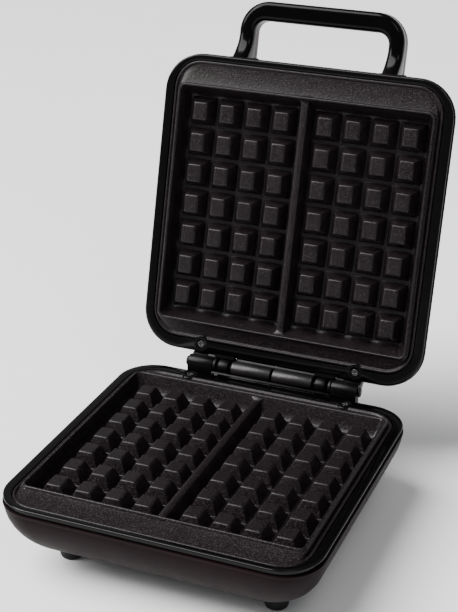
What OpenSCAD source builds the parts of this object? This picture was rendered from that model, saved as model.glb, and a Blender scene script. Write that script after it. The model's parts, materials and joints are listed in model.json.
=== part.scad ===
// Two-slice deep waffle maker, lid standing open against its stop.
// Frame: millimetres, +Z up, X left to right, hinge towards +Y, feet on z = 0.
// The base and the lid mirror each other about the parting plane; the lid is
// drawn closed and then swung open about the hinge axis.

/* [View] */
// Which sub-part to draw
// How far the lid stands open, degrees
open_angle = 104.4; // [0:0.1:104.4]

/* [Housing] */
// Width of both housings at the rim
body_w = 237; // [236:0.5:242]
// Depth of both housings at the rim
body_d = 240; // [239:0.5:246]
// Corner radius of the rim
corner_r = 30; // [26:1:34]
// How far the bottom and the top draw in all round
dome_inset = 36; // [32:1:38]
// Height of the curved part of the base
base_drop = 40.5; // [39:0.5:44]
// Height of the curved part of the lid
lid_rise = 32; // [31:0.5:36]
// Wall thickness of the plastic housings
wall = 2.4; // [2:0.1:2.8]

/* [Plates] */
// Distance between knob rows, side to side
pitch_x = 23; // [22.6:0.1:23.1]
// Distance between knob rows, front to back
pitch_y = 25; // [24.4:0.1:25.2]
// Knob columns in each waffle
cols = 4; // [4:1:4]
// Knob rows in each waffle
rows = 7; // [7:1:7]
// Height of the knobs above the floor
knob_h = 11; // [9:0.5:12]
// Knob top, side to side
knob_top_x = 11; // [9:0.5:13]
// Knob top, front to back
knob_top_y = 13.8; // [12:0.2:15]
// Height of the bead round the cavities above the knob tops
lip_h = 3.7; // [3:0.1:4]
// Plate width at its outer bead
plate_w = 221; // [220:0.5:222]
// Plate depth at its outer bead
plate_d = 225; // [224:0.5:226]

/* [Handle] */
// Width across the two legs
handle_w = 136; // [132:1:140]
// How far the grip stands out from the rim
handle_out = 46.3; // [44:0.5:52]
// Thickness of the cross bar
bar_t = 15.6; // [14:0.2:17]
// Width of each leg
leg_w = 12.5; // [12:0.1:13]

/* [Hinge] */
// Hinge axis behind the rim
hinge_back = 7.5; // [7.5:0.1:8.5]
// Radius of the barrels and knuckles
barrel_r = 5.8; // [5.2:0.1:5.8]
// Radius of the hinge pin
pin_r = 2; // [1.8:0.1:2.2]
// Running clearance round the pin
pin_gap = 0.05; // [0.04:0.01:0.08]

/* [Feet] */
// Height of the feet below the base
foot_h = 16; // [14:0.5:18]
// Foot radius at the floor
foot_r = 8.5; // [7:0.5:9]

/* [Hidden] */

e = 0.01;
cy = -60;                          // centre of the base, front to back
front_y = cy - body_d / 2;
back_y = cy + body_d / 2;
shell_z = foot_h;                  // underside of the base
ridge_z = shell_z + base_drop;     // where the curve of the base begins
seam_z = ridge_z + 0.5;            // base shell meets its bezel
rim_z = seam_z + 5;                // top of the bezel = top of the knobs
knob_z = rim_z;
floor_z = knob_z - knob_h;
part_z = knob_z + 4.5;             // parting plane, height of the hinge axis
hinge_y = back_y + hinge_back;
hinge_z = part_z;
plate_y = cy - 2.5;
lip_z = knob_z + lip_h;
tray_z = floor_z - 4;              // underside of the plate
flange_z = knob_z - 3.4;           // underside of the plate flange
gap_x = 36;                        // between the inner columns of the two waffles
cav_x0 = 6.2;                      // cavity floor, divider side
cav_x1 = gap_x / 2 + (cols - 1) * pitch_x + 11.8;
cav_y = (rows - 1) / 2 * pitch_y + 12.5;
edge_x = cav_x1 + 5;               // cavity edge at the lip
edge_y = cav_y + 7;
tube_r = 3.3;                      // heating element
tube_z = tray_z - tube_r - 0.1;
pan_z = 36;                        // underside of the reflector
screw_x = 66;                      // hinge screws
screw_y = back_y - 6.4;
boss_y = screw_y - 1;               // bosses that take them
plate_screws = [[-60, plate_y - 106.5], [60, plate_y - 106.5],
                [-60, plate_y + 105.5], [60, plate_y + 105.5]];
shell_screws = [[-86, cy - 103], [86, cy - 103], [-50, cy + 99], [50, cy + 99]];
feet = [[-79, cy - 72.5], [79, cy - 72.5], [-79, cy + 93], [79, cy + 93]];
split_z = 99;                      // joint between the two halves of the handle
grip_z0 = 90;
grip_z1 = 108;
pad_y = front_y - 0.6;             // flat seat of the handle on the lid
leg_x = handle_w / 2 - leg_w / 2;
lid_z = 2 * part_z - ridge_z;      // where the curve of the lid begins
leg_z = [92, 101];                  // screws that hold the handle
pad_pts = [[pad_y, lid_z + 0.6], [pad_y, grip_z1 - 1.5], [pad_y + 1.5, grip_z1],
    [pad_y + 24, grip_z1 - 0.6], [pad_y + 36, lid_z + lid_rise - 6], [pad_y + 36, lid_z + 0.6]];
gland_z = 30;
base_curve = 1.85;                 // 2 = quarter ellipse, less = straighter sides that lean in

black = [0.07, 0.06, 0.065];
brown = [0.15, 0.125, 0.13];
coating = [0.17, 0.16, 0.165];
taupe = [0.38, 0.32, 0.33];
steel = [0.62, 0.62, 0.64];

// ---- outlines ------------------------------------------------------------

function arc(x, y, r, a0, n) = [for (i = [0:n]) [x + r * cos(a0 + 90 * i / n), y + r * sin(a0 + 90 * i / n)]];
function rr(w, d, r, n = 8) = concat(
    arc(w / 2 - r, d / 2 - r, r, 0, n), arc(-w / 2 + r, d / 2 - r, r, 90, n),
    arc(-w / 2 + r, -d / 2 + r, r, 180, n), arc(w / 2 - r, -d / 2 + r, r, 270, n));

// rounded slab on the body outline, drawn in by s
module body_slab(s, z0, z1) {
    translate([0, cy, z0]) linear_extrude(z1 - z0) polygon(rr(body_w - 2 * s, body_d - 2 * s, corner_r - s));
}
// rounded slab on the plate outline, drawn in by s
module plate_slab(s, z0, z1, r = 22) {
    translate([0, plate_y, z0]) linear_extrude(z1 - z0) polygon(rr(plate_w - 2 * s, plate_d - 2 * s, r - s));
}
// opening that lets the tray of the plate through
module tray_hole(z0, z1) {
    translate([0, cy, z0]) linear_extrude(z1 - z0) polygon(rr(2 * edge_x + 6.5, 2 * edge_y + 6.5, 8, 4));
}
// curved housing from its ridge to its flat, heights measured away from the ridge
function inset_at(t, p) = dome_inset * (1 - pow(1 - pow(t, p), 1 / p));
module dome(h, s, p = 2) {
    hull() for (t = [0, 0.2, 0.38, 0.54, 0.68, 0.8, 0.9, 0.965, 1]) {
        d = inset_at(t, p) + s;
        translate([0, cy, t * (h - s)]) linear_extrude(e)
            polygon(rr(body_w - 2 * d, body_d - 2 * d, corner_r - 0.45 * inset_at(t, p) - s, 6));
    }
}
module mirrored() { translate([0, 0, 2 * part_z]) mirror([0, 0, 1]) children(); }
module opened() { translate([0, hinge_y, hinge_z]) rotate([-open_angle, 0, 0]) translate([0, -hinge_y, -hinge_z]) children(); }
module both_sides() { children(); mirror([1, 0, 0]) children(); }
module rod_x(r, x0, x1) { translate([x0, hinge_y, hinge_z]) rotate([0, 90, 0]) cylinder(h = x1 - x0, r = r, $fn = 48); }

// cross-head screw, shank pointing +Z, head below the origin
module screw(head_r, head_h, shank_r, len) {
    difference() {
        union() {
            translate([0, 0, -head_h]) cylinder(h = head_h, r = head_r, $fn = 32);
            cylinder(h = len, r = shank_r, $fn = 24);
        }
        for (a = [0, 90]) rotate(a) translate([-head_r * 0.62, -0.45, -head_h - 1]) cube([head_r * 1.24, 0.9, 1 + head_h * 0.6]);
    }
}

// ---- parts shared by base and lid ---------------------------------------

module bezel() {
    difference() {
        union() {
            body_slab(3.4, seam_z - 6, seam_z + e);
            body_slab(1.4, seam_z, rim_z - 1.9);
            body_slab(0.6, rim_z - 2, rim_z - 1.4);
            body_slab(0, rim_z - 1.5, rim_z - 0.6);
            body_slab(0.6, rim_z - 0.7, rim_z);
            both_sides() translate([screw_x, screw_y, rim_z - 2]) cylinder(h = 2, r = 7.4, $fn = 40);
        }
        body_slab(5.8, seam_z - 7, seam_z - 3);
        both_sides() translate([screw_x, boss_y, seam_z - 7]) cylinder(h = 4, r = 4, $fn = 32);
        tray_hole(seam_z - 4, rim_z + 1);
        plate_slab(-0.3, flange_z - 0.1, rim_z + 1);
        for (p = plate_screws) translate([p[0], p[1], seam_z - 5]) cylinder(h = 8, r = 1.8, $fn = 24);
        for (p = shell_screws) translate([p[0], p[1], seam_z - 8]) cylinder(h = 8.1, r = 1.5, $fn = 24);
        both_sides() translate([screw_x, screw_y, seam_z - 5]) cylinder(h = 12, r = 1.7, $fn = 24);
        both_sides() translate([screw_x, screw_y, rim_z - 1.6]) cylinder(h = 2, r = 3.05, $fn = 32);
    }
}

module knob() {
    hull() {
        translate([-10.9, -11.2, floor_z - 1]) cube([21.8, 22.4, 1]);
        translate([-knob_top_x / 2, -knob_top_y / 2, knob_z - 0.7]) cube([knob_top_x, knob_top_y, e]);
        translate([-knob_top_x / 2 + 0.6, -knob_top_y / 2 + 0.6, knob_z - e]) cube([knob_top_x - 1.2, knob_top_y - 1.2, e]);
    }
}

module plate_tray() {
    difference() {
        union() {
            hull() {
                translate([0, cy, tray_z]) linear_extrude(e) polygon(rr(2 * cav_x1 + 5, 2 * cav_y + 5, 6, 3));
                translate([0, cy, flange_z]) linear_extrude(e) polygon(rr(2 * edge_x + 4, 2 * edge_y + 4, 7, 3));
            }
            hull() {
                plate_slab(2.6, flange_z, flange_z + 1.8);
                translate([0, cy, lip_z - 1.4]) linear_extrude(e) polygon(rr(2 * edge_x + 2.6, 2 * edge_y + 2.6, 4, 4));
            }
            hull() {
                translate([0, cy, flange_z]) linear_extrude(e) polygon(rr(2 * edge_x + 5, 2 * edge_y + 5, 5, 4));
                translate([0, cy, lip_z - 0.6]) linear_extrude(e) polygon(rr(2 * edge_x + 2.8, 2 * edge_y + 2.8, 4, 4));
                translate([0, cy, lip_z - e]) linear_extrude(e) polygon(rr(2 * edge_x + 1.4, 2 * edge_y + 1.4, 3.4, 4));
            }
            difference() {
                hull() {
                    plate_slab(0, flange_z, knob_z - 0.9);
                    plate_slab(0.9, flange_z, knob_z);
                }
                hull() {
                    plate_slab(3, flange_z - 1, knob_z - 0.9);
                    plate_slab(2.1, knob_z - 0.1, knob_z + 1);
                }
            }
        }
        both_sides() hull() {
            translate([cav_x0, cy - cav_y, floor_z]) cube([cav_x1 - cav_x0, 2 * cav_y, e]);
            translate([cav_x0 - 4.7, cy - edge_y, lip_z]) cube([edge_x - cav_x0 + 4.7, 2 * edge_y, 1]);
        }
        translate([-8, cy - edge_y + 0.6, knob_z + 0.6]) cube([16, 2 * edge_y - 1.2, lip_h + 1]);
        for (p = plate_screws) translate([p[0], p[1], flange_z - 1]) cylinder(h = 2.6, r = 1.5, $fn = 16);
    }
}

module at_knobs() {
    for (i = [0:cols - 1], j = [0:rows - 1], k = [-1, 1])
        translate([k * (gap_x / 2 + i * pitch_x), cy + (j - (rows - 1) / 2) * pitch_y, 0]) children();
}

module plate() {
    difference() {
        union() {
            plate_tray();
            at_knobs() knob();
        }
        // the knobs are hollow from below
        at_knobs() hull() {
            translate([-7.6, -8, tray_z - 1]) cube([15.2, 16, 1]);
            translate([-2.4, -3.8, knob_z - 3.3]) cube([4.8, 7.6, e]);
        }
    }
}

// four legs joined by three half-round bends, ends turned to the hinge side
module element() {
    for (x = [-84, -28, 28, 84]) translate([x, cy - 55, tube_z]) rotate([-90, 0, 0])
        cylinder(h = abs(x) > 50 ? 135 : 110, r = tube_r, $fn = 24);
    for (x = [-56, 56]) translate([x, cy - 55, tube_z]) rotate([0, 0, 180])
        rotate_extrude(angle = 180, $fn = 64) translate([28, 0]) circle(r = tube_r, $fn = 24);
    translate([0, cy + 55, tube_z]) rotate_extrude(angle = 180, $fn = 64) translate([28, 0]) circle(r = tube_r, $fn = 24);
    for (x = [-84, 84]) translate([x, cy + 80, tube_z]) rotate([-90, 0, 0]) cylinder(h = 8, r = 1.5, $fn = 16);
}

module reflector() {
    difference() {
        translate([-cav_x1 - 2, cy - cav_y - 2, pan_z]) cube([2 * cav_x1 + 4, 2 * cav_y + 4, tray_z - pan_z - 0.1]);
        translate([-cav_x1 - 1, cy - cav_y - 1, pan_z + 1]) cube([2 * cav_x1 + 2, 2 * cav_y + 2, 20]);
        for (x = [-60, 0, 60], y = [-50, 50]) translate([x, cy + y, pan_z - 1]) cylinder(h = 3, r = 5, $fn = 24);
    }
}

module flange_screws() {
    for (p = plate_screws) translate([p[0], p[1], seam_z - 3]) screw(3.2, 2, 1.4, flange_z - seam_z + 4.2);
}

module hinge_side_screws(len) {
    both_sides() translate([screw_x, screw_y, rim_z - 1.6]) mirror([0, 0, 1]) screw(2.8, 1.2, 1.6, len);
}

// side view of an arm that carries the pin and reaches into the housing below
arm_pts = [[52, seam_z - 6.6], [61.6, seam_z - 6.6], [hinge_y + 4.4, hinge_z - 2.7], [hinge_y + 1, hinge_z + 1.2],
           [hinge_y - 4.4, hinge_z - 2.4], [58.4, seam_z - 0.4], [52, seam_z - 3.2]];
module arm_solid(x0, x1) {
    translate([x0, 0, 0]) rotate([90, 0, 90]) linear_extrude(x1 - x0) polygon(arm_pts);
    rod_x(barrel_r, x0, x1);
}
module arm(x0, x1, bore) {
    difference() {
        arm_solid(x0, x1);
        rod_x(bore, x0 - 1, x1 + 1);
    }
}
// part of a tube round the hinge axis, from angle a0 to a1 above +Y
module band(x0, x1, r0, r1, a0, a1, n = 12) {
    translate([x0, hinge_y, hinge_z]) rotate([90, 0, 90]) linear_extrude(x1 - x0) polygon(concat(
        [for (i = [0:n]) r1 * [cos(a0 + (a1 - a0) * i / n), sin(a0 + (a1 - a0) * i / n)]],
        [for (i = [n:-1:0]) r0 * [cos(a0 + (a1 - a0) * i / n), sin(a0 + (a1 - a0) * i / n)]]));
}
module hinge_bar() {
    difference() {
        translate([-73, 48, seam_z - 9]) cube([146, 7.9, 2.5]);
        both_sides() translate([screw_x, screw_y, seam_z - 12]) cylinder(h = 8, r = 1.6, $fn = 24);
    }
    both_sides() difference() {
        translate([screw_x, boss_y, seam_z - 8]) cylinder(h = 4.9, r = 3, $fn = 32);
        translate([screw_x, screw_y, seam_z - 12]) cylinder(h = 12, r = 1.6, $fn = 24);
    }
}
// clearance slot for an arm through the wall and its ledge, below the rim
module arm_slot(x0, x1) {
    translate([x0, 47, seam_z - 11]) cube([x1 - x0, 20, rim_z - seam_z + 11 - 2.1]);
}

// ---- base ----------------------------------------------------------------

module base_shell() color(brown) {
    difference() {
        union() {
            translate([0, 0, ridge_z]) mirror([0, 0, 1]) dome(base_drop, 0, base_curve);
            body_slab(-0.5, ridge_z - 1, seam_z - 0.3);
            body_slab(0.2, ridge_z - 1.4, seam_z);
            for (p = [feet[2], feet[3]]) translate([p[0], p[1], shell_z]) cylinder(h = 18, r = 12.5, $fn = 48);
            translate([-14, 44, gland_z - 11]) cube([28, back_y - 44.8, 22]);
        }
        translate([0, 0, ridge_z]) mirror([0, 0, 1]) dome(base_drop, wall, base_curve);
        body_slab(wall + 0.1, ridge_z - 0.1, seam_z + 1);
        for (p = feet) translate([p[0], p[1], shell_z - 1]) cylinder(h = 2.4, r = 11.7, $fn = 48);
        for (p = feet) translate([p[0], p[1], shell_z - 1]) cylinder(h = 11, r = 1.9, $fn = 24);
        translate([0, 40, gland_z]) rotate([-90, 0, 0]) cylinder(h = 30, r = 6, $fn = 32);
        for (p = shell_screws) translate([p[0], p[1], shell_z - 6]) cylinder(h = 20, r = 3.6, $fn = 24);
        both_sides() arm_slot(37, 46);
    }
    for (p = feet) translate([p[0], p[1], shell_z + 1.4]) difference() {
        cylinder(h = 9, r = 6, $fn = 32);
        translate([0, 0, -1]) cylinder(h = 8.5, r = 1.7, $fn = 24);
    }
    difference() {
        intersection() {
            translate([0, 0, ridge_z]) mirror([0, 0, 1]) dome(base_drop, 0.8, base_curve);
            for (p = shell_screws) translate([p[0], p[1], shell_z]) cylinder(h = seam_z - 3.2 - shell_z, r = 5, $fn = 32);
        }
        for (p = shell_screws) translate([p[0], p[1], shell_z - 1]) {
            cylinder(h = 15, r = 3.6, $fn = 24);
            cylinder(h = 60, r = 1.7, $fn = 24);
        }
    }
    translate([-12, 13, shell_z + 1]) cube([24, 12, gland_z - 5 - shell_z - 1]);
}

module base_bezel() color(black) difference() {
    bezel();
    both_sides() arm_slot(37, 46);
}

module lower_plate() color(coating) plate();
module lower_element() color(steel) element();
module lower_reflector() color(steel) reflector();
module lower_plate_screws() color(steel) flange_screws();

module base_screws() color(steel)
    for (p = shell_screws) translate([p[0], p[1], shell_z + 14]) screw(3.2, 2, 1.4, seam_z - shell_z - 15);

module rubber_feet() color(black) for (p = feet) translate([p[0], p[1], 0]) difference() {
    union() {
        cylinder(h = 1.5, r1 = foot_r - 1.5, r2 = foot_r, $fn = 48);
        translate([0, 0, 1.5]) cylinder(h = foot_h - 0.1, r1 = foot_r, r2 = 11.5, $fn = 48);
    }
    translate([0, 0, -1]) cylinder(h = 10, r = 3.6, $fn = 32);
    cylinder(h = foot_h + 3, r = 1.8, $fn = 24);
}

module foot_screws() color(steel) for (p = feet) translate([p[0], p[1], 9]) screw(3.2, 2, 1.5, foot_h - 1);

module thermostat() color([0.75, 0.72, 0.66]) translate([0, cy, 0]) {
    translate([0, 0, tray_z - 4.1]) cylinder(h = 4, r = 8, $fn = 40);
    translate([0, 0, tray_z - 8.1]) cylinder(h = 4, r = 6.5, $fn = 40);
    both_sides() translate([3, -2, tray_z - 9.3]) cube([2.4, 4, 1.6]);
}

module thermal_fuse() color([0.85, 0.83, 0.78]) translate([-11, cy - 30, tray_z - 2.4]) rotate([0, 90, 0]) {
    cylinder(h = 22, r = 2.2, $fn = 24);
    translate([0, 0, -6]) cylinder(h = 34, r = 0.6, $fn = 12);
}

module terminal_block() color([0.9, 0.89, 0.84]) difference() {
    translate([-15, 12, gland_z - 5]) cube([30, 14, 10]);
    for (x = [-9, 0, 9]) {
        translate([x, 19, gland_z + 1]) cylinder(h = 6, r = 2, $fn = 24);
        translate([x, 11, gland_z]) rotate([-90, 0, 0]) cylinder(h = 16, r = 1.5, $fn = 24);
    }
}

module cord_gland() color(black) translate([0, back_y - 0.6, gland_z]) rotate([-90, 0, 0]) difference() {
    union() {
        cylinder(h = 2.2, r = 9, $fn = 48);
        translate([0, 0, 2.2]) cylinder(h = 9, r1 = 7, r2 = 5.2, $fn = 48);
        translate([0, 0, -17]) cylinder(h = 17.1, r = 5.9, $fn = 48);
    }
    translate([0, 0, -18]) cylinder(h = 40, r = 3.6, $fn = 32);
}

// three leads, gathered from the clamp into the gland
module base_leads() color([0.45, 0.3, 0.2]) for (x = [-9, 0, 9]) {
    near = x * 0.26;
    translate([x, 21, gland_z]) rotate([-90, 0, 0]) cylinder(h = 13, r = 1.2, $fn = 20);
    if (x != 0) translate([min(near, x) - 1.2, 34 - e, gland_z - 1.2]) cube([abs(x - near) + 2.4, 2.4, 2.4]);
    translate([near, 33.9, gland_z]) rotate([-90, 0, 0]) cylinder(h = 17.4, r = 1.1, $fn = 20);
}

module base_hinge_bracket() color(black) {
    hinge_bar();
    both_sides() arm(37.5, 45.5, pin_r);
    // trough under the barrels
    band(-50.5, 50.5, 6.5, 8.2, 207, 296);
}
module base_hinge_screws() color(steel) hinge_side_screws(12);

module hinge_pin() color(steel) {
    rod_x(pin_r, -73.4, 73.4);
    both_sides() rod_x(3.8, 72.6, 74.2);
}
module hinge_washers() color(steel) both_sides() difference() {
    rod_x(5.6, 48, 50.4);
    rod_x(pin_r, 47, 52);
}

// ---- lid -----------------------------------------------------------------

module lid_shell() color(brown) opened() {
    difference() {
        union() {
            translate([0, 0, lid_z]) dome(lid_rise, 0);
            mirrored() body_slab(-0.5, ridge_z - 1, seam_z - 0.3);
            mirrored() body_slab(0.2, ridge_z - 1.4, seam_z);
            both_sides() translate([leg_x - 10, 0, 0]) rotate([90, 0, 90]) linear_extrude(20) polygon(pad_pts);
        }
        translate([0, 0, lid_z]) dome(lid_rise, wall);
        mirrored() body_slab(wall + 0.1, ridge_z - 0.1, seam_z + 1);
        both_sides() for (z = leg_z) {
            translate([leg_x, pad_y - 2, z]) rotate([-90, 0, 0]) cylinder(h = 30, r = 1.7, $fn = 24);
            translate([leg_x, pad_y + 4, z]) rotate([-90, 0, 0]) cylinder(h = 40, r = 3.6, $fn = 24);
        }
        for (x = [-9, 9]) translate([x, -132, 90]) cylinder(h = 40, r = 3.6, $fn = 32);
        for (p = shell_screws) translate([p[0], p[1], lid_z + lid_rise - 12]) cylinder(h = 20, r = 3.6, $fn = 24);
        mirrored() both_sides() { arm_slot(50.6, 72.4); arm_slot(-1, 35); }
    }
    difference() {
        intersection() {
            translate([0, 0, lid_z]) dome(lid_rise, 0.8);
            for (p = shell_screws) translate([p[0], p[1], 2 * part_z - seam_z + 3.2]) cylinder(h = lid_rise, r = 5, $fn = 32);
        }
        for (p = shell_screws) translate([p[0], p[1], 2 * part_z - seam_z]) {
            cylinder(h = 60, r = 1.7, $fn = 24);
            translate([0, 0, lid_rise - 11]) cylinder(h = 20, r = 3.6, $fn = 24);
        }
    }
}

module lid_bezel() color(black) opened() mirrored() difference() {
    bezel();
    both_sides() { arm_slot(50.6, 72.4); arm_slot(-1, 35); }
}

module upper_plate() color(coating) opened() mirrored() plate();
module upper_element() color(steel) opened() mirrored() element();
module upper_reflector() color(steel) opened() mirrored() reflector();
module upper_plate_screws() color(steel) opened() mirrored() flange_screws();

module lid_screws() color(steel) opened()
    for (p = shell_screws) translate([p[0], p[1], 2 * part_z - seam_z + lid_rise - 11])
        mirror([0, 0, 1]) screw(3.2, 2, 1.4, lid_rise - 12);

module hinge_barrels() color(brown) opened() both_sides() difference() {
    rod_x(barrel_r, 0.8, 34.5);
    rod_x(pin_r + pin_gap, 0, 36);
}

module lid_hinge_bracket() color(black) opened() {
    mirrored() {
        hinge_bar();
        both_sides() difference() {
            translate([0.8, 0, 0]) rotate([90, 0, 90]) linear_extrude(33.7) polygon(arm_pts);
            rod_x(barrel_r + 0.02, 0, 36);
        }
    }
    both_sides() difference() {
        union() {
            mirrored() arm_solid(51, 72);
            // square heels that meet the back of the base when the lid is open
            translate([51, hinge_y, hinge_z]) rotate([open_angle, 0, 0])
                translate([0, -hinge_back + 1.4, -10.5]) cube([21, hinge_back + 0.6, 11]);
        }
        mirrored() translate([screw_x, screw_y, seam_z - 12]) cylinder(h = 10, r = 1.75, $fn = 24);
        rod_x(pin_r + pin_gap, 50, 74);
    }
    // hood behind the barrels
    band(-71.5, 71.5, 6.6, 8.4, 57, 140);
    band(-58, 58, 6.6, 8.4, 135, 147);
}
module lid_hinge_screws() color(steel) opened() mirrored() hinge_side_screws(12);

// closed loop of the handle seen from above, drawn in by s
module handle_loop(s) {
    w = handle_w - 2 * s;
    top = front_y - handle_out + s;
    iw = handle_w - 2 * leg_w + 2 * s;
    itop = front_y - handle_out + bar_t - s;
    difference() {
        polygon(concat([[w / 2, pad_y], [-w / 2, pad_y]], arc(-w / 2 + 24, top + 24, 24, 180, 8),
            arc(w / 2 - 24, top + 24, 24, 270, 8)));
        polygon(concat([[iw / 2, pad_y + 1], [-iw / 2, pad_y + 1]], arc(-iw / 2 + 9, itop + 9, 9, 180, 5),
            arc(iw / 2 - 9, itop + 9, 9, 270, 5)));
    }
}
module handle_side(pts) {
    translate([-handle_w, 0, 0]) rotate([90, 0, 90]) linear_extrude(2 * handle_w) polygon(pts);
}
module leg_bores() {
    both_sides() for (z = leg_z) translate([leg_x, pad_y - 9, z]) rotate([-90, 0, 0]) cylinder(h = 10, r = 1.4, $fn = 24);
}

module handle_grip() color(black) opened() difference() {
    intersection() {
        union() {
            translate([0, 0, 70]) linear_extrude(split_z - 70) handle_loop(1.4);
            translate([0, 0, 78]) linear_extrude(split_z - 78 - 1) handle_loop(0);
        }
        handle_side([[pad_y, 79], [pad_y - 4, 82.6], [pad_y - 10, 87], [pad_y - 18, grip_z0],
            [front_y - 60, grip_z0], [front_y - 60, split_z], [pad_y, split_z]]);
    }
    leg_bores();
}

module handle_cover() color(taupe) opened() difference() {
    intersection() {
        union() {
            translate([0, 0, split_z]) linear_extrude(grip_z1 - split_z - 1.6) handle_loop(0);
            translate([0, 0, split_z]) linear_extrude(grip_z1 - split_z) handle_loop(1.8);
        }
        handle_side([[pad_y, split_z], [front_y - 60, split_z], [front_y - 60, grip_z1],
            [pad_y - 12, grip_z1], [pad_y, grip_z1 - 2]]);
    }
    leg_bores();
}

module handle_screws() color(steel) opened() both_sides() for (z = leg_z)
    translate([leg_x, pad_y + 4, z]) rotate([90, 0, 0]) screw(3.2, 2, 1.4, 12.5);

module lens(x) {
    translate([x, -132, lid_z + lid_rise]) {
        translate([0, 0, -wall - 1]) cylinder(h = 1, r = 4.8, $fn = 32);
        translate([0, 0, -wall - 0.1]) cylinder(h = wall + 0.9, r = 3.5, $fn = 32);
    }
}
module power_lens() color([0.8, 0.1, 0.06]) opened() lens(-9);
module ready_lens() color([0.1, 0.6, 0.2]) opened() lens(9);
module lamp_carrier() color([0.9, 0.89, 0.84]) opened() difference() {
    translate([-15, -138, 98.2]) cube([30, 12, lid_z + lid_rise - wall - 1 - 98.2]);
    for (x = [-9, 9]) translate([x, -132, 99.5]) cylinder(h = 20, r = 3, $fn = 24);
}

base_shell();
base_bezel();
lower_plate();
lower_element();
lower_reflector();
lower_plate_screws();
base_screws();
rubber_feet();
foot_screws();
thermostat();
thermal_fuse();
terminal_block();
cord_gland();
base_leads();
base_hinge_bracket();
base_hinge_screws();
hinge_pin();
hinge_washers();
lid_shell();
lid_bezel();
upper_plate();
upper_element();
upper_reflector();
upper_plate_screws();
lid_screws();
hinge_barrels();
lid_hinge_bracket();
lid_hinge_screws();
handle_grip();
handle_cover();
handle_screws();
power_lens();
ready_lens();
lamp_carrier();
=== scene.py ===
"""Waffle maker, lid open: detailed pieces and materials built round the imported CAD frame.

Shapes are written in millimetres in the object's frame (+Z up, +Y towards the hinge, feet on z = 0)
and turned into metres when a mesh is made. What belongs to the lid is drawn as its mirror image
in the base and then swung open, as in the CAD source.
"""

import json
import math

import bmesh
import bpy
from mathutils import Matrix, Vector


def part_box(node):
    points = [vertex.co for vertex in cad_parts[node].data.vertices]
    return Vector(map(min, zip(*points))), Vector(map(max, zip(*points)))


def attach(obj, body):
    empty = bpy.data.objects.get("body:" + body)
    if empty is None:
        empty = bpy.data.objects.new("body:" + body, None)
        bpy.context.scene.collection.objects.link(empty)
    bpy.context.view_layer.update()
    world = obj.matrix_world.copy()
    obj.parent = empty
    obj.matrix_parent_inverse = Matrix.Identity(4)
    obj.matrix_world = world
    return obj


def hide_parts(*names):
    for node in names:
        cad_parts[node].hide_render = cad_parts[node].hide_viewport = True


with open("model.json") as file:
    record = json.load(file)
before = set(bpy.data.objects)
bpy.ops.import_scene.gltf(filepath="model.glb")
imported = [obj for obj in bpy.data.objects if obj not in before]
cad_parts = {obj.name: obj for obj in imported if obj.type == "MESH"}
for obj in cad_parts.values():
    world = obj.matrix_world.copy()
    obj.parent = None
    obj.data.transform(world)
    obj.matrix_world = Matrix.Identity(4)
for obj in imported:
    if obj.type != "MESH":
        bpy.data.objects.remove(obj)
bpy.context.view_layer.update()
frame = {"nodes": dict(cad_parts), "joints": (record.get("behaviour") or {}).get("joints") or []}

MM = 0.001
hinge = frame["joints"][0]
OPEN = math.radians(hinge["range_deg"][1])
HINGE_Y, HINGE_Z = (v / MM for v in hinge["pos_m"][1:])


def node_box(node):
    """Lowest and highest corner of a CAD node, in millimetres."""
    lo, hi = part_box(node)
    return lo / MM, hi / MM


# ---- sizes, from the frame -------------------------------------------------

shell_lo, shell_hi = node_box("base_shell")
plate_lo, plate_hi = node_box("lower_plate")
bezel_hi = node_box("base_bezel")[1]
foot_top = node_box("rubber_feet")[1].z

RIDGE = 0.5  # how far the ridge under the seam stands out
BODY_W = shell_hi.x - shell_lo.x - 2 * RIDGE
BODY_D = shell_hi.y - shell_lo.y - 2 * RIDGE
BODY_Y = (shell_lo.y + shell_hi.y) / 2
FRONT = BODY_Y - BODY_D / 2
BACK = BODY_Y + BODY_D / 2
CORNER = 30  # corner radius of the rim
BOTTOM = shell_lo.z
SEAM = shell_hi.z
CURVE = SEAM - 0.5  # where the curved part of the housing begins
RIM = bezel_hi.z
INSET = 36  # how far the bottom and the top draw in
WALL = 2.4
PART = HINGE_Z  # parting plane
LID_CURVE = 2 * PART - CURVE
LID_RISE = 32

PLATE_W = plate_hi.x - plate_lo.x
PLATE_D = plate_hi.y - plate_lo.y
PLATE_Y = (plate_lo.y + plate_hi.y) / 2
PLATE_R = 22
LIP = plate_hi.z  # crest of the bead round the cavities
KNOB_TOP = RIM
FLOOR = KNOB_TOP - 11
TRAY = plate_lo.z
FLANGE = KNOB_TOP - 3.4
CAV_X, CAV_Y = 98.8, 87.5  # half size of both cavity floors together
EDGE_X, EDGE_Y = CAV_X + 5, CAV_Y + 7  # the same at the bead
PITCH_X, PITCH_Y, GAP_X = 23, 25, 36
COLS, ROWS = 4, 7

M_BASE = Matrix.Identity(4)
M_OPEN = (
    Matrix.Translation((0, HINGE_Y, HINGE_Z))
    @ Matrix.Rotation(-OPEN, 4, "X")
    @ Matrix.Translation((0, -HINGE_Y, -HINGE_Z))
)
M_LID = M_OPEN @ Matrix.Translation((0, 0, 2 * PART)) @ Matrix.Scale(-1, 4, (0, 0, 1))


# ---- mesh helpers ----------------------------------------------------------


def outwards(mesh):
    """Points every face of a closed mesh outwards."""
    work = bmesh.new()
    work.from_mesh(mesh)
    bmesh.ops.recalc_face_normals(work, faces=work.faces)
    work.to_mesh(mesh)
    work.free()


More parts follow.
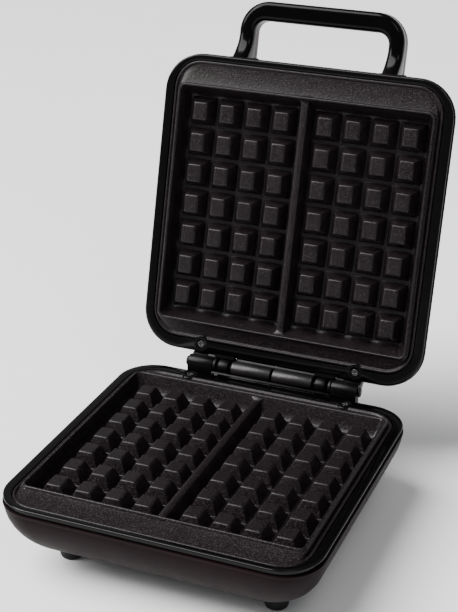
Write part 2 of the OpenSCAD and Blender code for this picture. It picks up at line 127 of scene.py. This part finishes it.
def drilled(mesh, bores, matrix):
    """The mesh with holes along Z cut out of it.

    Each bore is (x, y, low, high, radius) where the piece was drawn; matrix puts it in place.
    """
    link, unlink = bpy.context.scene.collection.objects.link, bpy.data.objects.remove
    work = bpy.data.objects.new("work", mesh)
    link(work)
    cutters = []
    for x, y, low, high, radius in bores:
        tool = bmesh.new()
        r, depth = radius * MM, (high - low) * MM
        bmesh.ops.create_cone(tool, cap_ends=True, segments=40, radius1=r, radius2=r, depth=depth)
        place = matrix @ Matrix.Translation((x, y, (low + high) / 2))
        place.translation *= MM
        bmesh.ops.transform(tool, matrix=place, verts=tool.verts)
        bmesh.ops.recalc_face_normals(tool, faces=tool.faces)
        rod = bpy.data.meshes.new("cutter")
        tool.to_mesh(rod)
        tool.free()
        cutters.append(bpy.data.objects.new("cutter", rod))
        link(cutters[-1])
        cut = work.modifiers.new("bore", "BOOLEAN")
        cut.object, cut.operation, cut.solver, cut.use_self = cutters[-1], "DIFFERENCE", "EXACT", True
    depsgraph = bpy.context.evaluated_depsgraph_get()
    result = bpy.data.meshes.new_from_object(work.evaluated_get(depsgraph), depsgraph=depsgraph)
    for obj in (work, *cutters):
        unlink(obj)
    return result


def circle(r, z, n):
    """Ring of n points about Z."""
    return [(r * math.cos(2 * math.pi * i / n), r * math.sin(2 * math.pi * i / n), z) for i in range(n)]


class Shape:
    """Vertices and faces of one piece, in millimetres."""

    def __init__(self):
        self.verts, self.faces = [], []

    def loft(self, rings, close=False):
        """Joins rings of equal length; close joins the last to the first, otherwise faces fill the ends."""
        n, first = len(rings[0]), len(self.verts)
        for ring in rings:
            self.verts += ring
        steps = len(rings) if close else len(rings) - 1
        for k in range(steps):
            a, b = first + k * n, first + (k + 1) % len(rings) * n
            for i in range(n):
                j = (i + 1) % n
                self.faces.append((a + i, a + j, b + j, b + i))
        if not close:
            last = first + (len(rings) - 1) * n
            self.faces.append(tuple(first + i for i in reversed(range(n))))
            self.faces.append(tuple(last + i for i in range(n)))
        return self

    def turn(self, profile, matrix=M_BASE, n=48, hollow=False):
        """Turns (radius, height) points about Z and puts the result in place by matrix.

        hollow joins the profile's ends, so that a hole stays open along the axis.
        """
        rings = [[tuple(matrix @ Vector(point)) for point in circle(r, z, n)] for r, z in profile]
        return self.loft(rings, close=hollow)

    def mirrored_x(self):
        """Adds the mirror image of everything so far."""
        n = len(self.verts)
        self.verts += [(-x, y, z) for x, y, z in self.verts]
        self.faces += [tuple(n + i for i in reversed(f)) for f in self.faces]
        return self

    def piece(self, name, body, material, slot, matrix=M_BASE, stands_for=(), sharp=38, bores=()):
        """Makes the object, in metres, riding on its body."""
        mesh = bpy.data.meshes.new(name)
        mesh.from_pydata([(matrix @ Vector(v)) * MM for v in self.verts], [], self.faces)
        mesh.validate()
        outwards(mesh)
        if bores:
            mesh = drilled(mesh, bores, matrix)
            mesh.name = name
        mesh.shade_smooth()
        mesh.set_sharp_from_angle(angle=math.radians(sharp))
        mesh.materials.append(material)
        obj = bpy.data.objects.new(name, mesh)
        bpy.context.scene.collection.objects.link(obj)
        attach(obj, body)
        if stands_for:
            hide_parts(*stands_for)
        return obj


def rounded(w, d, r, z, y=0.0, x=0.0, n=8):
    """Ring of a rounded rectangle, counter-clockwise from the right."""
    ring = []
    for k, (sx, sy) in enumerate(((1, 1), (-1, 1), (-1, -1), (1, -1))):
        for i in range(n + 1):
            a = math.radians(90 * (k + i / n))
            ring.append((
                x + sx * (w / 2 - r) + r * math.cos(a),
                y + sy * (d / 2 - r) + r * math.sin(a),
                z,
            ))
    return ring


def body_ring(s, z, drop=0.0, n=10):
    """The housing's outline drawn in by s; drop is the part of it that also tightens the corner."""
    return rounded(BODY_W - 2 * s, BODY_D - 2 * s, max(3, CORNER - s + 0.55 * drop), z, BODY_Y, n=n)


def plate_ring(s, z, n=10):
    """The plate's outline drawn in by s."""
    return rounded(PLATE_W - 2 * s, PLATE_D - 2 * s, PLATE_R - s, z, PLATE_Y, n=n)


def cavity_ring(s, z, r=4.0, n=10):
    """The cavities' common outline at the bead, grown by s."""
    return rounded(2 * (EDGE_X + s), 2 * (EDGE_Y + s), r, z, BODY_Y, n=n)


def dome_rings(z0, rise, s, power, steps=18):
    """Curved housing from its rim to its flat, as rings; rise is negative downwards."""
    rings = []
    for k in range(steps + 1):
        a = math.radians(90 * k / steps)
        drop = INSET * (1 - math.cos(a) ** (2 / power))
        height = (abs(rise) - s) * math.sin(a) ** (2 / power)
        rings.append(body_ring(drop + s, z0 + math.copysign(height, rise), drop))
    return rings


# ---- materials -------------------------------------------------------------


def material(
    name,
    color,
    rough,
    vary=0.12,
    blotch=30.0,
    grain=900.0,
    grain_depth=0.02,
    rough_vary=0.08,
    specular=0.5,
    coat=0.0,
    metallic=0.0,
    dust=0.0,
    fleck=0.0,
):
    """Moulded or coated surface: mottled colour, uneven gloss, fine grain as bump, faint dust."""
    m = bpy.data.materials.new(name)
    m.use_nodes = True
    nodes, links = m.node_tree.nodes, m.node_tree.links
    shader = nodes["Principled BSDF"]
    shader.inputs["Metallic"].default_value = metallic
    shader.inputs["Specular IOR Level"].default_value = specular
    shader.inputs["Coat Weight"].default_value = coat
    shader.inputs["Coat Roughness"].default_value = 0.1
    place = nodes.new("ShaderNodeTexCoord")

    def noise(scale, detail=3.0, roughness=0.5):
        n = nodes.new("ShaderNodeTexNoise")
        n.inputs["Scale"].default_value = scale
        n.inputs["Detail"].default_value = detail
        n.inputs["Roughness"].default_value = roughness
        links.new(place.outputs["Object"], n.inputs["Vector"])
        return n

    def ramp(source, low, high, a, b):
        r = nodes.new("ShaderNodeMapRange")
        r.inputs["From Min"].default_value = a
        r.inputs["From Max"].default_value = b
        r.inputs["To Min"].default_value = low
        r.inputs["To Max"].default_value = high
        links.new(source, r.inputs["Value"])
        return r.outputs["Result"]

    def mix(a, b, share):
        x = nodes.new("ShaderNodeMix")
        x.data_type = "RGBA"
        for socket, value in (("A", a), ("B", b)):
            target = next(i for i in x.inputs if i.name == socket and i.type == "RGBA")
            if isinstance(value, tuple):
                target.default_value = (*value, 1)
            else:
                links.new(value, target)
        links.new(share, x.inputs["Factor"])
        return next(o for o in x.outputs if o.type == "RGBA")

    patches = noise(blotch, 4.0, 0.6)
    dark = tuple(c * (1 - vary) for c in color)
    light = tuple(c * (1 + vary) for c in color)
    tint = mix(dark, light, ramp(patches.outputs["Fac"], 0, 1, 0.32, 0.68))
    fine = noise(grain, 2.0, 0.55)
    if fleck:
        speck = noise(grain * 1.7, 1.0)
        flecked = tuple(min(1.0, c * 3.2 + 0.014) for c in color)
        tint = mix(tint, flecked, ramp(speck.outputs["Fac"], 0, fleck, 0.53, 0.64))
    if dust:
        settled = noise(blotch * 3.1, 6.0, 0.7)
        grey = tuple(0.7 * c + 0.03 for c in color)
        tint = mix(tint, grey, ramp(settled.outputs["Fac"], 0, dust, 0.5, 0.75))
    links.new(tint, shader.inputs["Base Color"])
    worn = noise(blotch * 2.3, 5.0, 0.65)
    links.new(
        ramp(worn.outputs["Fac"], max(0.02, rough - rough_vary), min(1, rough + rough_vary), 0.3, 0.7),
        shader.inputs["Roughness"],
    )
    bump = nodes.new("ShaderNodeBump")
    bump.inputs["Strength"].default_value = 1.0
    bump.inputs["Distance"].default_value = grain_depth * MM
    links.new(fine.outputs["Fac"], bump.inputs["Height"])
    links.new(bump.outputs["Normal"], shader.inputs["Normal"])
    return m


HOUSING = material(
    "housing_plastic", (0.0062, 0.0026, 0.0032), 0.50,
    grain_depth=0.03, rough_vary=0.05, dust=0.004, specular=0.06,
)
GLOSS = material(
    "gloss_rim", (0.0010, 0.0008, 0.0008), 0.15,
    grain_depth=0.004, rough_vary=0.04, specular=0.16,
)
COATING = material(
    "nonstick_coating", (0.0040, 0.0025, 0.0029), 0.33,
    grain=740, grain_depth=0.14, rough_vary=0.05, fleck=0.9, specular=0.17,
)
HANDLE_BLACK = material(
    "handle_gloss", (0.0007, 0.0006, 0.0006), 0.15,
    grain_depth=0.004, rough_vary=0.03, specular=0.09,
)
HANDLE_TAUPE = material("handle_matte", (0.085, 0.058, 0.062), 0.52, grain_depth=0.02, specular=0.4)
HINGE_PLAIN = material(
    "hinge_plastic", (0.0014, 0.0011, 0.0011), 0.34,
    grain_depth=0.012, specular=0.12,
)
HINGE_GRAIN = material(
    "hinge_grained", (0.0045, 0.0034, 0.0036), 0.38,
    grain=420, grain_depth=0.16, specular=0.34,
)
PIN = material("pin_black", (0.0025, 0.002, 0.002), 0.42, grain_depth=0.006, specular=0.15)
HINGE_SCREW = material(
    "hinge_screw", (0.022, 0.020, 0.020), 0.25,
    grain=1500, grain_depth=0.006, vary=0.2, specular=0.8,
)
SCREW = material(
    "screw_steel", (0.07, 0.065, 0.065), 0.34,
    metallic=1.0, grain=1500, grain_depth=0.006, vary=0.3,
)
STEEL = material(
    "bright_steel", (0.45, 0.44, 0.43), 0.32,
    metallic=1.0, grain=1500, grain_depth=0.006, vary=0.2,
)
RUBBER = material("rubber", (0.005, 0.0045, 0.0045), 0.7, grain_depth=0.03, dust=0.08, specular=0.3)
CERAMIC = material("ceramic", (0.55, 0.52, 0.46), 0.55, grain_depth=0.01)
WHITE = material("white_plastic", (0.68, 0.67, 0.62), 0.45, grain_depth=0.01)
LEAD = material("lead_sleeve", (0.22, 0.12, 0.06), 0.6, grain=2500, grain_depth=0.05)
RED = material("red_lens", (0.45, 0.012, 0.008), 0.12, grain_depth=0.002, coat=0.5)
GREEN = material("green_lens", (0.012, 0.26, 0.04), 0.12, grain_depth=0.002, coat=0.5)

NODE_MATERIALS = {
    "lower_element": STEEL,
    "upper_element": STEEL,
    "lower_reflector": STEEL,
    "upper_reflector": STEEL,
    "lower_plate_screws": SCREW,
    "upper_plate_screws": SCREW,
    "base_screws": SCREW,
    "lid_screws": SCREW,
    "foot_screws": SCREW,
    "handle_screws": SCREW,
    "hinge_pin": PIN,
    "hinge_washers": PIN,
    "base_hinge_screws": HINGE_SCREW,
    "lid_hinge_screws": HINGE_SCREW,
    "thermostat": CERAMIC,
    "thermal_fuse": CERAMIC,
    "terminal_block": WHITE,
    "lamp_carrier": WHITE,
    "base_leads": LEAD,
    "base_hinge_bracket": HINGE_PLAIN,
    "lid_hinge_bracket": HINGE_PLAIN,
    "hinge_barrels": HINGE_GRAIN,
    "cord_gland": RUBBER,
    "rubber_feet": RUBBER,
    "power_lens": RED,
    "ready_lens": GREEN,
}
for node, finish in NODE_MATERIALS.items():
    obj = frame["nodes"][node]
    obj.data.materials.clear()
    obj.data.materials.append(finish)


# ---- housings and bezels ---------------------------------------------------


def housing(z0, rise, power, name, body, stands_for, matrix):
    """Curved shell with the ridge round its edge; drawn from the middle of the flat outwards."""
    up = math.copysign(1, -rise)
    outer = dome_rings(z0, rise, 0, power)[::-1]
    flat = outer[0][0][2]
    middle = [body_ring(INSET + s, flat, INSET) for s in (22, 5)]
    edge = [
        body_ring(s, z0 + up * dz)
        for s, dz in ((0.2, -1.5), (-0.25, -1.25), (-0.5, -0.75), (-0.5, 0.05), (-0.2, 0.4), (0.5, 0.5))
    ]
    inner = [body_ring(WALL, z0 + up * 0.5)] + dome_rings(z0, rise, WALL, power)
    roof = inner[-1][0][2]
    middle_in = [body_ring(INSET + s, roof, INSET) for s in (8, 22)]
    Shape().loft(middle + outer[:-1] + edge + inner + middle_in).piece(
        name, body, HOUSING, "housing", matrix, stands_for
    )


housing(CURVE, -(CURVE - BOTTOM), 1.85, "base_housing", "base", ["base_shell"], M_BASE)


def bezel(shape):
    """Glossy rim and the dark band under it, as one closed profile carried round the body."""
    outline = [
        body_ring(3.1, SEAM - 5.5),
        body_ring(3.1, SEAM - 0.2),
        body_ring(1.4, SEAM),
        body_ring(1.5, SEAM + 1.6),
        body_ring(1.4, RIM - 2.3),
        body_ring(0.75, RIM - 2.0),
        body_ring(0.2, RIM - 1.7),
        body_ring(0.0, RIM - 1.25),
        body_ring(0.05, RIM - 0.75),
        body_ring(0.35, RIM - 0.3),
        body_ring(0.85, RIM - 0.05),
        body_ring(1.5, RIM),
        plate_ring(-1.3, RIM),
        plate_ring(-0.75, RIM - 0.15),
        plate_ring(-0.5, RIM - 0.6),
        plate_ring(-0.5, FLANGE - 0.1),
        cavity_ring(3.3, FLANGE - 0.1, 8),
        cavity_ring(3.3, SEAM - 3.5, 8),
        body_ring(5.6, SEAM - 3.5),
        body_ring(5.6, SEAM - 5.5),
    ]
    return shape.loft(outline, close=True)


HEAD_R = 2.8  # hinge screws
SCREW_X, SCREW_Y = 66, node_box("base_hinge_screws")[1].y - HEAD_R
SEAT_R, SEAT_DEPTH = HEAD_R + 0.3, 1.5
BORE_R = HEAD_R + 0.25
EAR = bezel_hi.y - SCREW_Y


def ears(shape):
    """Round lobes of the rim that carry the hinge screws, with a shallow seat for each head."""
    profile = [
        (EAR - 0.5, RIM - 2.6), (EAR, RIM - 2.1), (EAR, RIM - 0.7),
        (EAR - 0.2, RIM - 0.25), (EAR - 0.7, RIM + 0.02),
        (SEAT_R + 0.5, RIM + 0.04), (SEAT_R + 0.1, RIM - 0.2),
        (SEAT_R, RIM - 0.5), (SEAT_R - 0.1, RIM - SEAT_DEPTH),
    ]
    for x in (-SCREW_X, SCREW_X):
        shape.turn(profile, Matrix.Translation((x, SCREW_Y, 0)), n=40)
    return shape


screw_bores = [(x, SCREW_Y, RIM - SEAT_DEPTH, RIM + 1, BORE_R) for x in (-SCREW_X, SCREW_X)]
for body, matrix in (("base", M_BASE), ("lid", M_LID)):
    ears(bezel(Shape())).piece(
        body + "_rim", body, GLOSS, "gloss_black", matrix, [body + "_bezel"], bores=screw_bores
    )


# ---- plates ----------------------------------------------------------------


def plate():
    """Tray with its flange and two beads, the divider, and the rows of knobs."""
    shape = Shape()
    tray = [
        cavity_ring(-3.5, TRAY, 3),
        cavity_ring(-2.5, TRAY, 3.5),
        cavity_ring(2.0, FLANGE - 0.4, 7),
        cavity_ring(2.6, FLANGE, 7),
        plate_ring(1.2, FLANGE),
        plate_ring(0.3, FLANGE + 0.2),
        plate_ring(0.0, FLANGE + 0.7),
        plate_ring(0.0, KNOB_TOP - 1.1),
        plate_ring(0.15, KNOB_TOP - 0.55),
        plate_ring(0.55, KNOB_TOP - 0.15),
        plate_ring(1.1, KNOB_TOP),
        plate_ring(1.65, KNOB_TOP - 0.1),
        plate_ring(2.15, KNOB_TOP - 0.5),
        plate_ring(2.5, KNOB_TOP - 1.1),
        plate_ring(3.0, KNOB_TOP - 1.4),
        plate_ring(3.8, KNOB_TOP - 1.4),
        cavity_ring(3.1, LIP - 2.3, 6.5),
        cavity_ring(2.3, LIP - 2.0, 6),
        cavity_ring(2.0, LIP - 1.5, 5.8),
        cavity_ring(1.8, LIP - 0.8, 5.6),
        cavity_ring(1.45, LIP - 0.25, 5.3),
        cavity_ring(0.95, LIP, 5),
        cavity_ring(0.4, LIP - 0.1, 4.6),
        cavity_ring(-0.05, LIP - 0.5, 4.3),
        cavity_ring(-0.4, LIP - 1.4, 4.2),
    ]
    # the wall slopes more at the front and back than at the sides
    height = LIP - 1.4 - FLOOR
    for k in (0.5, 0.86, 0.94, 0.985):
        flare = 1.6 * max(0.0, k - 0.86) / 0.14
        half_w = EDGE_X - 0.4 - k * 3.6 - flare
        half_d = EDGE_Y - 0.4 - k * 5.4 - flare
        tray.append(rounded(2 * half_w, 2 * half_d, 4, LIP - 1.4 - k * height, BODY_Y, n=10))
    tray.append(rounded(2 * (CAV_X - 1.6), 2 * (CAV_Y - 1.6), 3.2, FLOOR, BODY_Y, n=10))
    tray.append(rounded(2 * (CAV_X - 4), 2 * (CAV_Y - 4), 3, FLOOR, BODY_Y, n=10))
    shape.loft(tray)

    # divider: a ridge that widens into the walls at both ends
    fillet, lap = 4.5, 3.0
    rings = []
    stations = [-lap, 0, 0.25, 0.7, 1.4, 2.3, 3.3, fillet]
    half = EDGE_Y - 0.4
    ys = [BODY_Y - half + t for t in stations] + [BODY_Y + half - t for t in reversed(stations)]
    for y in ys:
        t = max(0.0, half - abs(y - BODY_Y))
        grow = fillet - math.sqrt(max(0.0, fillet**2 - max(0.0, fillet - t) ** 2))
        rise = (LIP - 1.5 - KNOB_TOP) * max(0.0, 1 - t / fillet) ** 2
        section = [(6.9, FLOOR - 0.5), (6.6, FLOOR + 0.1), (6.0, FLOOR + 0.6), (5.5, FLOOR + 1.5)]
        section += [(3.0, KNOB_TOP - 1.0), (2.7, KNOB_TOP - 0.4), (2.1, KNOB_TOP)]
        right = [(x + grow, y, z + (rise if z > FLOOR + 2 else 0)) for x, z in section]
        rings.append(right + [(-x, yy, z) for x, yy, z in reversed(right)])
    shape.loft(rings)

    knob = [  # half width, half depth, height above the floor, corner radius
        (10.95, 11.25, -0.6, 0.8), (10.85, 11.15, 0.05, 0.8), (10.45, 10.85, 0.3, 1.0),
        (10.1, 10.55, 0.8, 1.1), (9.8, 10.3, 1.5, 1.1), (6.15, 7.4, 9.75, 1.1),
        (5.85, 7.15, 10.35, 1.1), (5.4, 6.75, 10.75, 1.0), (4.7, 6.1, 10.97, 0.9), (3.9, 5.3, 11.0, 0.7),
    ]
    for side in (-1, 1):
        for i in range(COLS):
            for j in range(ROWS):
                x = side * (GAP_X / 2 + i * PITCH_X)
                y = BODY_Y + (j - (ROWS - 1) / 2) * PITCH_Y
                shape.loft([rounded(2 * a, 2 * b, r, FLOOR + z, y, x, n=3) for a, b, z, r in knob])
    return shape


for side, body, matrix in (("lower", "base", M_BASE), ("upper", "lid", M_LID)):
    plate().piece(side + "_waffle_plate", body, COATING, "coated_plate", matrix, [side + "_plate"])


# ---- lid housing -------------------------------------------------------------

housing(CURVE, -LID_RISE, 2, "lid_housing", "lid", ["lid_shell"], M_LID)


# ---- handle ------------------------------------------------------------------

grip_lo, grip_hi = node_box("handle_grip")
HANDLE_W = grip_hi.x - grip_lo.x
LEG_W = 12.5
LEG_X = HANDLE_W / 2 - LEG_W / 2
REACH = 46.3  # the cross bar's outer face in front of the rim
BAR = 15.6
GRIP_LOW, SPLIT, GRIP_HIGH = 90, 99, 108
SEAT = FRONT - 0.6
OUT_R, IN_R = 24, 9


def handle_stations():
    """Matching points of the loop's outer and inner outline, from one seat round to the other."""
    w, iw = HANDLE_W / 2, HANDLE_W / 2 - LEG_W
    top, itop = FRONT - REACH, FRONT - REACH + BAR
    legs, bends = [0, 1.5, 3, 5, 7.5, 10, 13, 17], 12

    def line(w, top, r):
        pts = [(-w, SEAT - t) for t in legs]
        for cx, a0 in ((-w + r, 180), (w - r, 270)):
            for i in range(bends + 1):
                a = math.radians(a0 + 90 * i / bends)
                pts.append((cx + r * math.cos(a), top + r + r * math.sin(a)))
        return pts + [(w, SEAT - t) for t in reversed(legs)]

    return list(zip(line(w, top, OUT_R), line(iw, itop, IN_R)))


def leg_low(y):
    """Underside of the grip: the legs deepen towards the lid."""
    t = max(0.0, min(1.0, (y - (SEAT - 17)) / 17))
    return GRIP_LOW - 11 * t**1.7


def handle_half(z_low, z_high, r_low, r_high):
    """Rounded section carried round the loop between two heights."""
    turn = [math.radians(a) for a in (0, 18, 36, 54, 72, 90)]
    low_edge = [(r_low * (1 - math.sin(a)), r_low * (1 - math.cos(a))) for a in turn]
    high_edge = [(r_high * (1 - math.cos(a)), r_high * (1 - math.sin(a))) for a in turn]
    rings = []
    for outer, inner in handle_stations():
        o, i = Vector(outer), Vector(inner)
        across = (i - o).normalized()
        w, zb = (i - o).length, z_low(o.y)
        section = [(w - d, zb + rise) for d, rise in reversed(low_edge)]
        section += [(d, zb + rise) for d, rise in low_edge]
        section += [(d, z_high - fall) for d, fall in high_edge]
        section += [(w - d, z_high - fall) for d, fall in reversed(high_edge)]
        rings.append([(*(o + across * d), z) for d, z in section])
    return Shape().loft(rings)


FRONT_EDGE, BACK_EDGE, JOINT_EDGE = 4.2, 3.8, 0.5  # rounding of the grip's edges
handle_half(leg_low, SPLIT, FRONT_EDGE, JOINT_EDGE).piece(
    "handle_front", "lid", HANDLE_BLACK, "gloss_black", M_OPEN, ["handle_grip"]
)
handle_half(lambda y: SPLIT, GRIP_HIGH, JOINT_EDGE, BACK_EDGE).piece(
    "handle_back", "lid", HANDLE_TAUPE, "handle_taupe", M_OPEN, ["handle_cover"]
)

seats = Shape()
sections = [  # distance behind the seat, half width, underside, top
    (0.0, 7.6, 77.8, 106.6), (0.5, 8.2, 77.3, 107.3), (1.6, 8.7, 77.1, 107.7),
    (6, 9.4, 79.0, 107.8), (14, 11.0, 90.0, 107.8), (22, 14.5, 97.0, 107.4),
    (28, 19, 99.0, 106.2), (34, 24, 100.0, 103.5),
]
rings = []
for back, half, z0, z1 in sections:
    flat = rounded(2 * half, z1 - z0, 3.4, 0, n=5)
    rings.append([(LEG_X + x, SEAT + back, (z0 + z1) / 2 + z) for x, z, _ in flat])
seats.loft(rings).mirrored_x().piece("handle_seats", "lid", HOUSING, "housing", M_OPEN)


# ---- hinge, feet, gland, lamps -------------------------------------------------


def soften(node, width):
    """Rounds the edges of a CAD node that is shown as it is."""
    obj = frame["nodes"][node]
    weld = obj.modifiers.new("weld", "WELD")
    weld.merge_threshold = 1e-6
    flat = obj.modifiers.new("flat", "DECIMATE")
    flat.decimate_type = "DISSOLVE"
    flat.angle_limit = math.radians(1)
    edge = obj.modifiers.new("edge", "BEVEL")
    edge.width = width * MM
    edge.segments = 2
    edge.limit_method = "ANGLE"
    edge.angle_limit = math.radians(32)
    edge.use_clamp_overlap = True
    edge.harden_normals = True
    obj.data.shade_smooth()


soften("lid_hinge_bracket", 0.6)
soften("base_hinge_bracket", 0.5)
soften("hinge_washers", 0.3)
soften("hinge_pin", 0.4)
soften("base_hinge_screws", 0.15)
soften("lid_hinge_screws", 0.15)

BARREL = 5.8  # radius
start, end, bore, soft = 0.8, 34.5, 2.1, 1.0  # of the right barrel, from the middle outwards
profile = [
    (bore, start), (BARREL - soft, start),
    (BARREL - 0.3 * soft, start + 0.3 * soft), (BARREL, start + soft),
    (BARREL, end - soft), (BARREL - 0.3 * soft, end - 0.3 * soft),
    (BARREL - soft, end), (bore, end),
]
along_hinge = Matrix.Translation((0, HINGE_Y, HINGE_Z)) @ Matrix.Rotation(math.pi / 2, 4, "Y")
Shape().turn(profile, along_hinge, hollow=True).mirrored_x().piece(
    "grained_barrels", "lid", HINGE_GRAIN, "hinge_textured", M_OPEN, ["hinge_barrels"]
)

# lips of the hood behind the barrels, which close the view past the pin
ARM = 51  # inner face of the lid's hinge arms
HOOD_IN, HOOD_OUT, HOOD_STEPS = 6.6, 9.3, 6
hood = Shape()
for x0, x1, low, high in ((-ARM, ARM, 43, 58), (end, ARM, 138, 179), (-ARM, -end, 138, 179)):
    corners = ((x0, HOOD_IN), (x1, HOOD_IN), (x1, HOOD_OUT), (x0, HOOD_OUT))
    rings = []
    for k in range(HOOD_STEPS + 1):
        a = math.radians(low + (high - low) * k / HOOD_STEPS)
        rings.append([(x, HINGE_Y + r * math.cos(a), HINGE_Z + r * math.sin(a)) for x, r in corners])
    hood.loft(rings)
hood.piece("hinge_hood", "lid", HINGE_PLAIN, "hinge_black", M_OPEN)

FOOT_X, FOOT_FRONT, FOOT_BACK = 79, 72.5, 93  # from the housing's middle
profile = [
    (3.6, 9.0), (3.6, 0.8), (4.1, 0.15), (5.0, 0.0), (6.6, 0.0), (7.6, 0.25), (8.2, 0.8), (8.5, 1.7),
    (9.2, 5.0), (10.3, 10.5), (11.3, 15.2), (11.5, 15.8), (11.5, foot_top), (1.8, foot_top), (1.8, 9.0),
]
feet = Shape()
for x in (-FOOT_X, FOOT_X):
    for y in (BODY_Y - FOOT_FRONT, BODY_Y + FOOT_BACK):
        feet.turn(profile, Matrix.Translation((x, y, 0)), hollow=True)
feet.piece("soft_feet", "base", RUBBER, "rubber", stands_for=["rubber_feet"])

gland_lo, gland_hi = node_box("cord_gland")
gland_z = (gland_lo.z + gland_hi.z) / 2
tip, collar = gland_hi.y, BACK - 0.6
profile = [(3.6, gland_lo.y), (3.6, tip - 0.4), (4.0, tip), (4.9, tip), (5.2, tip - 0.5)]
for k in range(4):
    y0, r = tip - 1.6 - 2.0 * k, 5.35 + 0.3 * k
    profile += [(r, y0 + 0.7), (r - 0.7, y0 + 0.45), (r - 0.7, y0 - 0.1), (r + 0.15, y0 - 0.35)]
profile += [(8.4, collar + 2.2), (8.9, collar + 1.8), (9.0, collar + 1.2)]
profile += [(9.0, collar - 0.4), (5.9, collar - 0.4), (5.9, gland_lo.y)]
towards_back = Matrix.Translation((0, 0, gland_z)) @ Matrix.Rotation(-math.pi / 2, 4, "X")
Shape().turn(profile, towards_back, hollow=True).piece(
    "ribbed_gland", "base", RUBBER, "rubber", stands_for=["cord_gland"]
)

LENS_X, LENS_Y, LENS_R = 9, -132, 3.5
lamp_top = LID_CURVE + LID_RISE
profile = [
    (4.8, -3.4), (4.8, -2.5), (LENS_R, -2.4), (LENS_R, 0.1),
    (3.35, 0.4), (2.8, 0.62), (1.9, 0.74), (0.8, 0.79),
]
for x, name, node, finish, slot in (
    (-LENS_X, "power_lamp", "power_lens", RED, "red_lens"),
    (LENS_X, "ready_lamp", "ready_lens", GREEN, "green_lens"),
):
    lens = Shape().turn(profile, Matrix.Translation((x, LENS_Y, lamp_top)), n=40)
    lens.piece(name, "lid", finish, slot, M_OPEN, [node])


# ---- camera, lights, floor ---------------------------------------------------

lens_mm, sensor_mm = 86.54, 36
cam = bpy.data.objects.new("camera", bpy.data.cameras.new("camera"))
cam.data.lens, cam.data.sensor_width = lens_mm, sensor_mm
cam.data.clip_start, cam.data.clip_end = 0.05, 50
cam.location = (0.3571, -0.9249, 0.6084)
cam.rotation_euler = [math.radians(a) for a in (65.497, -0.527, 21.960)]
bpy.context.scene.collection.objects.link(cam)
bpy.context.scene.camera = cam


def softbox(name, place, aim, side, power):
    """Square, slightly warm area light that faces a point."""
    data = bpy.data.lights.new(name, "AREA")
    data.shape, data.size = "SQUARE", side
    data.energy = power
    data.color = (1.0, 0.97, 0.95)
    lamp = bpy.data.objects.new(name, data)
    lamp.location = place
    lamp.rotation_euler = (Vector(aim) - Vector(place)).to_track_quat("-Z", "Y").to_euler()
    bpy.context.scene.collection.objects.link(lamp)


middle = (0, -0.02, 0.15)
softbox("key", (-1.5, -1.0, 1.3), middle, 0.9, 40)
softbox("strip", (0.9, -1.0, 1.9), middle, 0.8, 8)

sun = bpy.data.lights.new("daylight", "SUN")
sun.energy, sun.angle = 5.8, math.radians(44)
sun_lamp = bpy.data.objects.new("daylight", sun)
sun_lamp.rotation_euler = [math.radians(a) for a in (33, 0, -62)]
bpy.context.scene.collection.objects.link(sun_lamp)

world = bpy.data.worlds.new("studio")
world.use_nodes = True
world.node_tree.nodes["Background"].inputs["Color"].default_value = (0.95, 0.97, 1.0, 1)
world.node_tree.nodes["Background"].inputs["Strength"].default_value = 0.4
bpy.context.scene.world = world

FLOOR_COAT = material(
    "studio_floor", (0.86, 0.86, 0.86), 0.8,
    vary=0.01, blotch=3, grain=200, grain_depth=0.01,
)
reach = 30
corners = [(-reach, -reach, 0), (reach, -reach, 0), (reach, reach, 0), (-reach, reach, 0)]
floor_mesh = bpy.data.meshes.new("floor")
floor_mesh.from_pydata(corners, [], [(0, 1, 2, 3)])
floor_mesh.materials.append(FLOOR_COAT)
floor = bpy.data.objects.new("floor", floor_mesh)
bpy.context.scene.collection.objects.link(floor)
